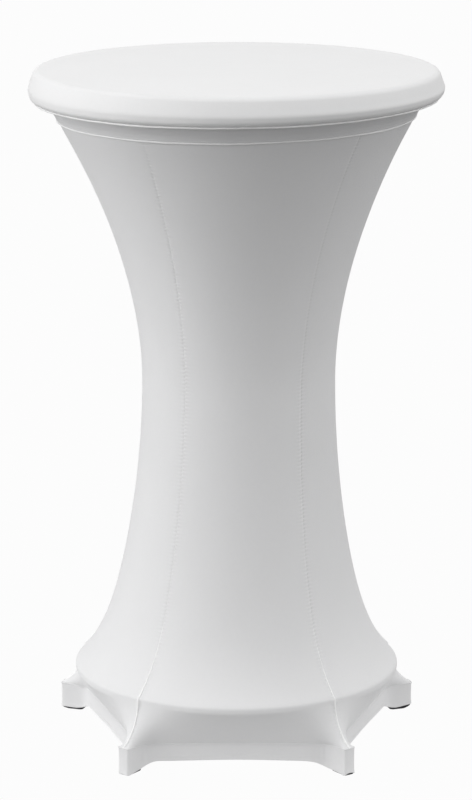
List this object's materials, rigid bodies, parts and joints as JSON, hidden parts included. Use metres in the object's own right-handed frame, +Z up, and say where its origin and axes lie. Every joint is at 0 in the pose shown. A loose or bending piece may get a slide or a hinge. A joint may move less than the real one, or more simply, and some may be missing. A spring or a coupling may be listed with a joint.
{
  "type": "fitted stretch tablecloth on a bar table",
  "caption": "White stretch cover with a separate topper, pulled tight over a round bar table, pinched at the waist and hooked under the feet of its base by sewn pockets.",
  "frame": {"origin": "on the floor, on the axis of the table's column, which is the centre of the box in plan", "axes": "+Z up along the column; -Y is the front, between the two front feet; +X to the right as seen from the front"},
  "size_m": [0.7006, 0.7006, 1.16],
  "materials": {
    "white_stretch": "matt white stretch knit, skirt and yoke",
    "white_hem": "matt white stretch knit, turned up double",
    "topper_stretch": "matt white stretch knit, topper",
    "white_elastic": "white elastic in a rolled hem",
    "grey_sole": "dark grey rubberised sole",
    "board_laminate": "laminated board, pale",
    "disc_laminate": "laminated board, pale",
    "dark_paint": "dark satin paint on steel",
    "column_paint": "grey satin paint on steel",
    "zinc_steel": "zinc plated steel",
    "black_plastic": "matt black nylon"
  },
  "bodies": {
    "covered_table": {"tabletop_board": "board_laminate", "top_plate": "dark_paint", "top_screw_1": "zinc_steel", "top_screw_2": "zinc_steel", "top_screw_3": "zinc_steel", "top_screw_4": "zinc_steel", "column_tube": "column_paint", "column_flange": "column_paint", "flange_bolt_1": "zinc_steel", "flange_bolt_2": "zinc_steel", "flange_bolt_3": "zinc_steel", "flange_bolt_4": "zinc_steel", "base_disc": "disc_laminate", "base_hub": "dark_paint", "base_arm_1": "dark_paint", "base_arm_2": "dark_paint", "base_arm_3": "dark_paint", "base_arm_4": "dark_paint", "base_arm_5": "dark_paint", "arm_end_cap_1": "black_plastic", "arm_end_cap_2": "black_plastic", "arm_end_cap_3": "black_plastic", "arm_end_cap_4": "black_plastic", "arm_end_cap_5": "black_plastic", "cover_top_panel": "white_stretch", "cover_yoke": "white_stretch", "skirt_panel_1": "white_stretch", "skirt_panel_2": "white_stretch", "skirt_panel_3": "white_stretch", "skirt_panel_4": "white_stretch", "skirt_panel_5": "white_stretch", "hem_band_1": "white_hem", "hem_band_2": "white_hem", "hem_band_3": "white_hem", "hem_band_4": "white_hem", "hem_band_5": "white_hem", "foot_pocket_1": "white_hem", "foot_pocket_2": "white_hem", "foot_pocket_3": "white_hem", "foot_pocket_4": "white_hem", "foot_pocket_5": "white_hem", "pocket_sole_1": "grey_sole", "pocket_sole_2": "grey_sole", "pocket_sole_3": "grey_sole", "pocket_sole_4": "grey_sole", "pocket_sole_5": "grey_sole"},
    "topper": {"topper_cloth": "topper_stretch", "topper_margin": "topper_stretch", "topper_elastic": "white_elastic"},
    "glide_1": {"levelling_glide_1": "black_plastic"},
    "glide_2": {"levelling_glide_2": "black_plastic"},
    "glide_3": {"levelling_glide_3": "black_plastic"},
    "glide_4": {"levelling_glide_4": "black_plastic"},
    "glide_5": {"levelling_glide_5": "black_plastic"}
  },
  "joints": [
    {"name": "topper_lift", "type": "slide", "parent": "covered_table", "child": "topper", "axis": [0, 0, 1], "range_m": [0, 0.1], "deforming": ["topper_margin", "topper_elastic"]},
    {"name": "glide_1_screw_in", "type": "slide", "parent": "covered_table", "child": "glide_1", "axis": [0, 0, 1], "range_m": [0, 0.005]},
    {"name": "glide_2_screw_in", "type": "slide", "parent": "covered_table", "child": "glide_2", "axis": [0, 0, 1], "range_m": [0, 0.005]},
    {"name": "glide_3_screw_in", "type": "slide", "parent": "covered_table", "child": "glide_3", "axis": [0, 0, 1], "range_m": [0, 0.005]},
    {"name": "glide_4_screw_in", "type": "slide", "parent": "covered_table", "child": "glide_4", "axis": [0, 0, 1], "range_m": [0, 0.005]},
    {"name": "glide_5_screw_in", "type": "slide", "parent": "covered_table", "child": "glide_5", "axis": [0, 0, 1], "range_m": [0, 0.005]}
  ]
}
